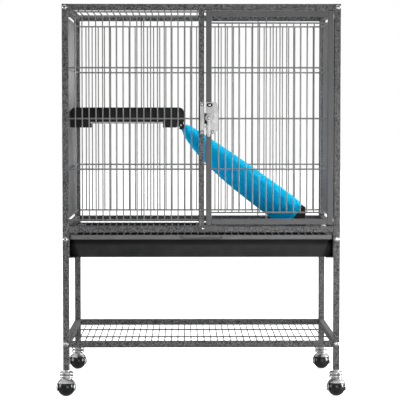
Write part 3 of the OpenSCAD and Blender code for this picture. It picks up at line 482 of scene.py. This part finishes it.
def addBlock(shape, low, high):
    low, high = Vector(low), Vector(high)
    bmesh.ops.create_cube(shape, size=1, matrix=Matrix.Translation((low + high) / 2)
                          @ Matrix.Diagonal((*(high - low), 1)))


# ---- wire panels ----

wires = {
    "upright": 0.0017,        # radius of the close-set wires
    "cross": 0.0022,          # radius of the wires that they are welded to
    "pitch": 0.0194,
    "sink": 0.0005,           # how deep the weld pressed them into each other
    "rows": 5,
    "sides": 12,
    "tip": 0.0005,            # rounding of the cut ends
    "tipAngle": 1.2,          # radians from which an edge belongs to a cut end
    "crease": 60,             # degrees
    "nugget": 0.0023,
    "nuggetFlat": 0.62,       # share of its radius between the two wires
    "nuggetEnd": (0.7, 1.25),     # shares along and across a cross wire's end
    "nuggetBack": 0.0001,
    "doorInset": 0.018,
    "grateInset": 0.065,      # from the loose grate's ends to its first cross wire
    "grateCrosses": 4,
    "shelfCrosses": (1 / 3, 2 / 3),
}
weldStep = wires["upright"] + wires["cross"] - wires["sink"]
wireLean = (wires["upright"] - wires["cross"]) / 2      # from a panel's middle to its weld line


def wireNumbers(span):
    count = round(span / wires["pitch"])
    return [(number, number * span / count) for number in range(1, count)]


def finishWires(name, shape, welds, place, body, finish):
    roundEdges(shape, [edge for edge in shape.edges if edge.calc_face_angle() > wires["tipAngle"]],
               wires["tip"])
    for spot, radii in welds:
        bmesh.ops.create_icosphere(shape, subdivisions=1, radius=1,
                                   matrix=Matrix.Translation(spot) @ Matrix.Diagonal((*radii, 1)))
    shape.transform(place)
    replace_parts(finishPiece(name + "Wires", shape, body, finish, wires["crease"]), name)


def makePanel(name, origin, turn, span, rows, tall=(), ends=(0, 0), body="frame",
              finish=finishes["wire_grey"]):  # tall: numbers of the wires that reach both ends
    shape = bmesh.new()
    welds = []
    size = wires["nugget"]
    along, across = wires["nuggetEnd"]
    for z in rows:
        addRod(shape, (0, weldStep / 2, z), (span, weldStep / 2, z), wires["cross"], wires["sides"])
        welds += [((x, weldStep / 2, z), (size * along, size * across, size * across)) for x in (0, span)]
    for number, x in wireNumbers(span):
        low, high = ends if number in tall else (rows[0] - wires["cross"], rows[-1] + wires["cross"])
        addRod(shape, (x, -weldStep / 2, low), (x, -weldStep / 2, high), wires["upright"], wires["sides"])
        welds += [((x, wires["nuggetBack"], z), (size, size * wires["nuggetFlat"], size)) for z in rows]
    place = Matrix.Translation(origin) @ Matrix.Rotation(math.radians(turn), 4, "Z")
    finishWires(name, shape, welds, place, body, finish)


def makeLevel(name, crosses, cross=wires["cross"], crossesAbove=True, loose=False, body="frame"):
    low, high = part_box(name)
    shape = bmesh.new()
    welds = []
    size = wires["nugget"]
    step = wires["upright"] + cross - wires["sink"]
    wireZ = high.z - cross - step if crossesAbove else high.z - wires["upright"]
    crossZ = wireZ + step if crossesAbove else wireZ - step
    sideX = high.x - wires["upright"] if loose else high.x
    for number, x in wireNumbers(2 * sideX):
        addRod(shape, (x - sideX, low.y, wireZ), (x - sideX, high.y, wireZ), wires["upright"],
               wires["sides"])
        welds += [((x - sideX, y, (wireZ + crossZ) / 2), (size, size, size * wires["nuggetFlat"]))
                  for y in crosses]
    for y in crosses:
        addRod(shape, (-sideX, y, crossZ), (sideX, y, crossZ), cross, wires["sides"])
    if loose:
        for x in (-sideX, sideX):
            addRod(shape, (x, low.y, wireZ), (x, high.y, wireZ), wires["upright"], wires["sides"])
    finishWires(name, shape, welds, Matrix.Identity(4), body, shadedLevelWire)


def makeWirePanels():
    low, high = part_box("front_grille")
    step = (high.z - low.z - 2 * wires["cross"]) / (wires["rows"] - 1)
    rows = [low.z + wires["cross"] + number * step for number in range(wires["rows"])]
    makePanel("front_grille", (low.x, (low.y + high.y) / 2 + wireLean, 0), 0, high.x - low.x, rows)

    low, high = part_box("rear_grille")
    span = high.x - low.x
    count = round(span / wires["pitch"])
    near = round(count / 4)
    makePanel("rear_grille", (high.x, (low.y + high.y) / 2 - wireLean, 0), 180, span, rows,
              (near, count - near), (low.z, high.z))

    for name, turn in (("left_grille", -90), ("right_grille", 90)):
        low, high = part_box(name)
        start = high.y if turn < 0 else low.y
        lean = wireLean if turn < 0 else -wireLean
        makePanel(name, ((low.x + high.x) / 2 + lean, start, 0), turn, high.y - low.y, rows,
                  finish=litSideWire)

    low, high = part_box("door_grille")
    span = high.x - low.x
    doorRows = [low.z + wires["doorInset"], *rows[1:4], high.z - wires["doorInset"]]
    makePanel("door_grille", (low.x, (low.y + high.y) / 2 + wireLean, 0), 0, span, doorRows,
              (round(span / wires["pitch"]) // 2,), (low.z, high.z), "door")

    low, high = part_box("roof_grille")
    makeLevel("roof_grille", [(low.y + high.y) / 2])
    low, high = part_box("shelf_grate")
    makeLevel("shelf_grate", [low.y + (high.y - low.y) * share for share in wires["shelfCrosses"]])
    low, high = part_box("floor_grate")
    first, last = low.y + wires["grateInset"], high.y - wires["grateInset"]
    gap = (last - first) / (wires["grateCrosses"] - 1)
    makeLevel("floor_grate", [first + number * gap for number in range(wires["grateCrosses"])],
              wires["upright"], loose=True, body="grate")


makeWirePanels()
print("wire panels made")


# ---- bolts ----

bolt = {
    "radius": 0.00725,
    "height": 0.0036,
    "shank": 0.003,
    "shankLength": 0.022,
    "steps": 24,
    "profile": ((0, 0), (0.97, 0), (1, 0.1), (0.97, 0.34), (0.86, 0.62), (0.6, 0.88), (0.36, 0.97),
                (0.14, 1), (0, 1)),       # shares of the head's radius and height
    "merge": 1e-7,
    "recessFrom": 0.8,        # the recess takes faces above this share of the height
    "recessReach": 0.55,      # and within this share of the radius, its arms
    "recessHub": 0.15,        # or this one, its middle
    "recessSpread": 1.2,      # half an arm's width in half steps
    "recessDepth": 0.5,
}


def addHead(shape, spot, outwards, radius, height):  # a domed head with a cross recess
    made = bmesh.new()
    points = [made.verts.new((radius * across, 0, height * up)) for across, up in bolt["profile"]]
    lines = [made.edges.new(pair) for pair in zip(points, points[1:])]
    bmesh.ops.spin(made, geom=points + lines, cent=(0, 0, 0), axis=(0, 0, 1), angle=2 * math.pi,
                   steps=bolt["steps"], use_merge=True)
    bmesh.ops.remove_doubles(made, verts=made.verts, dist=bolt["merge"])
    bmesh.ops.recalc_face_normals(made, faces=made.faces)
    half = math.pi / bolt["steps"] * bolt["recessSpread"]
    recess = []
    for face in made.faces:
        middle = face.calc_center_median()
        reach = middle.xy.length
        swing = abs((math.atan2(middle.y, middle.x) + math.pi / 4) % (math.pi / 2) - math.pi / 4)
        inArms = reach < radius * bolt["recessReach"] and swing < half
        if middle.z > height * bolt["recessFrom"] and (inArms or reach < radius * bolt["recessHub"]):
            recess.append(face)
    sunk = bmesh.ops.extrude_face_region(made, geom=recess)["geom"]
    bmesh.ops.delete(made, geom=recess, context="FACES")
    bmesh.ops.translate(made, verts=[part for part in sunk if isinstance(part, bmesh.types.BMVert)],
                        vec=(0, 0, -height * bolt["recessDepth"]))
    turn = Vector(outwards).to_track_quat("Z", "Y").to_matrix().to_4x4()
    made.transform(Matrix.Translation(spot) @ turn)
    mesh = bpy.data.meshes.new("head")
    made.to_mesh(mesh)
    made.free()
    shape.from_mesh(mesh)
    bpy.data.meshes.remove(mesh)


def makeBolts():
    low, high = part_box("frame_bolts")
    runnerLow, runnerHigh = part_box("runner_rails")
    postX = high.x - bolt["radius"]
    faces = [(low.y + bolt["height"], -1), (high.y - bolt["height"], 1)]
    levels = [low.z + bolt["radius"], (runnerLow.z + runnerHigh.z) / 2, high.z - bolt["radius"]]
    shape = bmesh.new()
    for x in (-postX, postX):
        for z in levels:
            for y, outwards in faces:
                addRod(shape, (x, y, z), (x, y - outwards * bolt["shankLength"], z), bolt["shank"])
                addHead(shape, (x, y, z), (0, outwards, 0), bolt["radius"], bolt["height"])
    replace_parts(finishPiece("boltHeads", shape, "frame", boltFinish), "frame_bolts")


makeBolts()
print("bolts made")


# ---- latch: painted shade blocks, painted shadow rings, hex plate and creases ----

latch = {
    "screwRadius": 0.0038,
    "screwHeight": 0.0016,
    "screwShank": 0.5,        # share of the head's radius
    "washer": 0.0047,         # radius of the dark rings under the screw heads: painted shadow round each head
    "washerThick": 0.0005,
    "washerSides": 24,
    "hexRadius": 0.0085,
    "hexStretch": (1.12, 1, 0.75),
    "hexPlace": (0.011, -0.0002, -0.008),     # from the plate's left edge, front face and upper edge
    "hexThick": 0.0006,
    "gapShade": (0.0021, 0.0004),   # painted shade: a black block in the gap between keeper and door; from the keeper to it and from it to the door
    "gapShadeRise": (-0.0165, 0.0145),    # its ends from the pivot
    "gapShadeDepth": (0.0004, 0.01),      # its faces from the front face of the tubes
    "slot": (0.0002, 0.0048),      # the black block painted into the slot as its shade: its sides from the plate's left edge
    "slotRise": (-0.0285, 0.0005),
    "slotDepth": (-0.0016, -0.0001),
    "crease": 0.0004,         # radius of the pressed creases
    "creaseSides": 8,
    "creaseBack": 0.0001,
    "creases": (((0.0015, 0.0315), (0.0275, 0.0235)), ((0.0195, -0.0235), (0.0295, -0.019))),
    "shadeStripSide": (-0.0028, 0.001),   # painted shade: a black strip beside the keeper, where its side is in shadow; from the keeper's left edge
    "shadeStripDepth": (-0.0012, 0.0002),
    "shadeStripInset": 0.001,
}


def islandBoxes(nodeName):  # the lowest and highest corner of each separate solid of a CAD node
    shape = mergedCopy(nodeName)
    waiting = set(shape.verts)
    boxes = []
    while waiting:
        found = {waiting.pop()}
        edge = list(found)
        while edge:
            near = {line.other_vert(vert) for vert in edge for line in vert.link_edges} - found
            found |= near
            edge = list(near)
        waiting -= found
        boxes.append([Vector(pick(vert.co[axis] for vert in found) for axis in range(3))
                      for pick in (min, max)])
    shape.free()
    return sorted(boxes, key=lambda box: tuple(box[0]))


def makeScrews(nodeName, name, body):
    shape, washers = bmesh.new(), bmesh.new()
    for low, high in islandBoxes(nodeName):
        spot = Vector(((low.x + high.x) / 2, low.y + latch["screwHeight"], (low.z + high.z) / 2))
        addRod(shape, (spot.x, high.y, spot.z), spot, latch["screwRadius"] * latch["screwShank"])
        addHead(shape, spot, (0, -1, 0), latch["screwRadius"], latch["screwHeight"])
        # painted shadow: a dark ring round each screw head
        addRod(washers, spot, spot + Vector((0, -latch["washerThick"], 0)), latch["washer"],
               latch["washerSides"])
    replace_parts(finishPiece(name, shape, body, boltFinish), nodeName)
    finishPiece(name + "Washers", washers, body, finishes["black_plastic"])


def jointPlace(name):
    return Vector(next(joint for joint in frame["joints"] if joint["name"] == name)["pos_m"])


def makeLatchTrim():
    caseLow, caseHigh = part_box("latch_case")
    keeperLow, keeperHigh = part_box("latch_keeper")
    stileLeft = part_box("door_latch_stile")[0].x
    pivot = jointPlace("latch_pivot")
    tubeFace = caseHigh.y                   # the front face of the tubes
    shape = bmesh.new()
    # painted shade: a black block fills the gap between keeper and door, where shade falls
    toGapShade, toDoor = latch["gapShade"]
    low, high = (pivot.z + rise for rise in latch["gapShadeRise"])
    front, back = (tubeFace + depth for depth in latch["gapShadeDepth"])
    addBlock(shape, (keeperHigh.x + toGapShade, front, low), (stileLeft - toDoor, back, high))
    # painted shade: a black block in the plate's slot
    left, right = (caseLow.x + across for across in latch["slot"])
    low, high = (pivot.z + rise for rise in latch["slotRise"])
    front, back = (tubeFace + depth for depth in latch["slotDepth"])
    addBlock(shape, (left, front, low), (right, back, high))
    x, y, z = latch["hexPlace"]
    hexPlace = (Matrix.Translation((caseLow.x + x, caseLow.y + y, caseHigh.z + z))
                @ Matrix.Diagonal((*latch["hexStretch"], 1)) @ Matrix.Rotation(math.pi / 2, 4, "X"))
    bmesh.ops.create_cone(shape, cap_ends=True, segments=6, radius1=latch["hexRadius"],
                          radius2=latch["hexRadius"], depth=latch["hexThick"], matrix=hexPlace)
    finishPiece("latchShadeAndHexPlate", shape, "door", finishes["black_plastic"])

    # painted shade: a black strip at the keeper's left side, where its side is in shadow
    shape = bmesh.new()
    left, right = (keeperLow.x + across for across in latch["shadeStripSide"])
    front, back = (tubeFace + depth for depth in latch["shadeStripDepth"])
    addBlock(shape, (left, front, keeperLow.z + latch["shadeStripInset"]),
             (right, back, keeperHigh.z - latch["shadeStripInset"]))
    finishPiece("keeperShadeStrip", shape, "frame", finishes["black_plastic"])

    shape = bmesh.new()
    for crease in latch["creases"]:
        start, end = ((caseLow.x + x, caseLow.y + latch["creaseBack"], pivot.z + z) for x, z in crease)
        addRod(shape, start, end, latch["crease"], latch["creaseSides"])
    finishPiece("latchCreases", shape, "door", finishes["zinc"])


makeLatchTrim()
makeScrews("latch_screws", "latchScrews", "door")
makeScrews("front_screws", "frontScrews", "frame")
print("latch trim made")


# ---- moulded and pressed pieces ----

softened = {                  # the new piece's name, its edges' rounding in metres and its steps
    "platform": ("platformShell", 0.0012, 3),
    "platform_clips": ("platformClips", 0.0006, 2),
    "latch_case": ("latchPlate", 0.0005, 2),
    "latch_lever": ("latchLever", 0.0006, 2),
    "latch_keeper": ("latchKeeper", 0.0004, 2),
    "tray_catch": ("trayCatch", 0.0005, 2),
    "tray_pan": ("trayPan", 0.002, 3),
    "tray_rim": ("trayRim", 0.0004, 2),
    "ramp_hook": ("rampHook", 0.0008, 2),
    "ramp_foot": ("rampFoot", 0.0015, 3),
}
for nodeName, (name, width, steps) in softened.items():
    softCopy(nodeName, name, width, steps)
print("moulded pieces made")


# ---- fleece sleeve over the ramp ----

sleeve = {
    "slotRoom": 0.0008,       # how far round the board its slot is closed
    "lift": (-0.06, 0.012),   # heights square to the board between which the painted light changes the colour, lighter below
    "voxel": 0.005,
    "crease": 180,            # degrees: none shows
    "frames": 20,
    "quality": 6,
    "mass": 0.2,
    "stiffness": 12,
    "bending": 0.3,
    "pressure": 1.5,
    "slack": -0.02,           # the cloth is this much larger than the space that it fills
    "cap": 0.0025,            # the furthest that a point moves
    "hem": 0.012,
}


def rampFrame():  # X down the ramp from its hinge, Z out of its top
    board = nodes["ramp_board"].data
    runs = [board.vertices[edge.vertices[1]].co - board.vertices[edge.vertices[0]].co
            for edge in board.edges]
    run = max((run for run in runs if abs(run.y) < abs(run.x)), key=lambda run: run.length)
    slope = math.atan2(abs(run.z), abs(run.x))
    return Matrix.Translation(jointPlace("ramp_hinge")) @ Matrix.Rotation(slope, 4, "Y")


def bakedMesh(piece):
    bpy.context.view_layer.update()
    mesh = bpy.data.meshes.new_from_object(piece.evaluated_get(bpy.context.evaluated_depsgraph_get()))
    piece.modifiers.clear()
    old, piece.data = piece.data, mesh
    bpy.data.meshes.remove(old)


def drapeSleeve(piece, local):
    rest = [vert.co.copy() for vert in piece.data.vertices]
    along = [(local @ spot).x for spot in rest]
    first, last = min(along), max(along)
    pinned = piece.vertex_groups.new(name="held")
    for number, reach in enumerate(along):
        nearEnd = min(reach - first, last - reach)
        pinned.add([number], max(0.0, 1 - nearEnd / sleeve["hem"]), "REPLACE")
    cloth = piece.modifiers.new("fleece", "CLOTH")
    settings = cloth.settings
    settings.quality = sleeve["quality"]
    settings.mass = sleeve["mass"]
    settings.tension_stiffness = settings.compression_stiffness = sleeve["stiffness"]
    settings.bending_stiffness = sleeve["bending"]
    settings.use_pressure = True
    settings.uniform_pressure_force = sleeve["pressure"]
    settings.shrink_min = sleeve["slack"]
    settings.vertex_group_mass = "held"
    settings.effector_weights.gravity = 0
    cloth.point_cache.frame_start, cloth.point_cache.frame_end = 1, sleeve["frames"]
    for number in range(1, sleeve["frames"] + 1):
        scene.frame_set(number)
    bakedMesh(piece)
    scene.frame_set(1)
    for vert, spot in zip(piece.data.vertices, rest):
        move = vert.co - spot
        if move.length > sleeve["cap"]:
            vert.co = spot + move.normalized() * sleeve["cap"]


def makeSleeve():
    local = rampFrame().inverted()
    board = [local @ vert.co for vert in nodes["ramp_board"].data.vertices]
    halfWidth = max(spot.y for spot in board) + sleeve["slotRoom"]
    lowZ = min(spot.z for spot in board) - sleeve["slotRoom"]
    highZ = max(spot.z for spot in board) + sleeve["slotRoom"]
    shape = bmesh.new()
    shape.from_mesh(nodes["ramp_cover"].data)
    bmesh.ops.remove_doubles(shape, verts=shape.verts, dist=shaping["merge"])
    slot = [vert for vert in shape.verts
            if abs((local @ vert.co).y) < halfWidth and lowZ < (local @ vert.co).z < highZ]
    bmesh.ops.delete(shape, geom=slot, context="VERTS")
    bmesh.ops.holes_fill(shape, edges=shape.edges, sides=0)
    bmesh.ops.recalc_face_normals(shape, faces=shape.faces)
    piece = finishPiece("fleeceSleeve", shape, "ramp", finishes["fleece"], sleeve["crease"])

    even = piece.modifiers.new("even", "REMESH")
    even.mode, even.voxel_size = "VOXEL", sleeve["voxel"]
    bakedMesh(piece)
    drapeSleeve(piece, local)
    finer = piece.modifiers.new("finer", "SUBSURF")
    finer.levels = finer.render_levels = 1
    bakedMesh(piece)
    piece.data.shade_smooth()
    # painted light: 1 at the upper edge and 0 below, so that the shaded underside is coloured lighter
    lift = piece.data.attributes.new("lift", "FLOAT", "POINT")
    low, high = sleeve["lift"]
    for number, vert in enumerate(piece.data.vertices):
        share = min(1.0, max(0.0, ((local @ vert.co).z - low) / (high - low)))
        lift.data[number].value = share * share * (3 - 2 * share)
    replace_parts(piece, "ramp_cover")


makeSleeve()
print("fleece sleeve made")
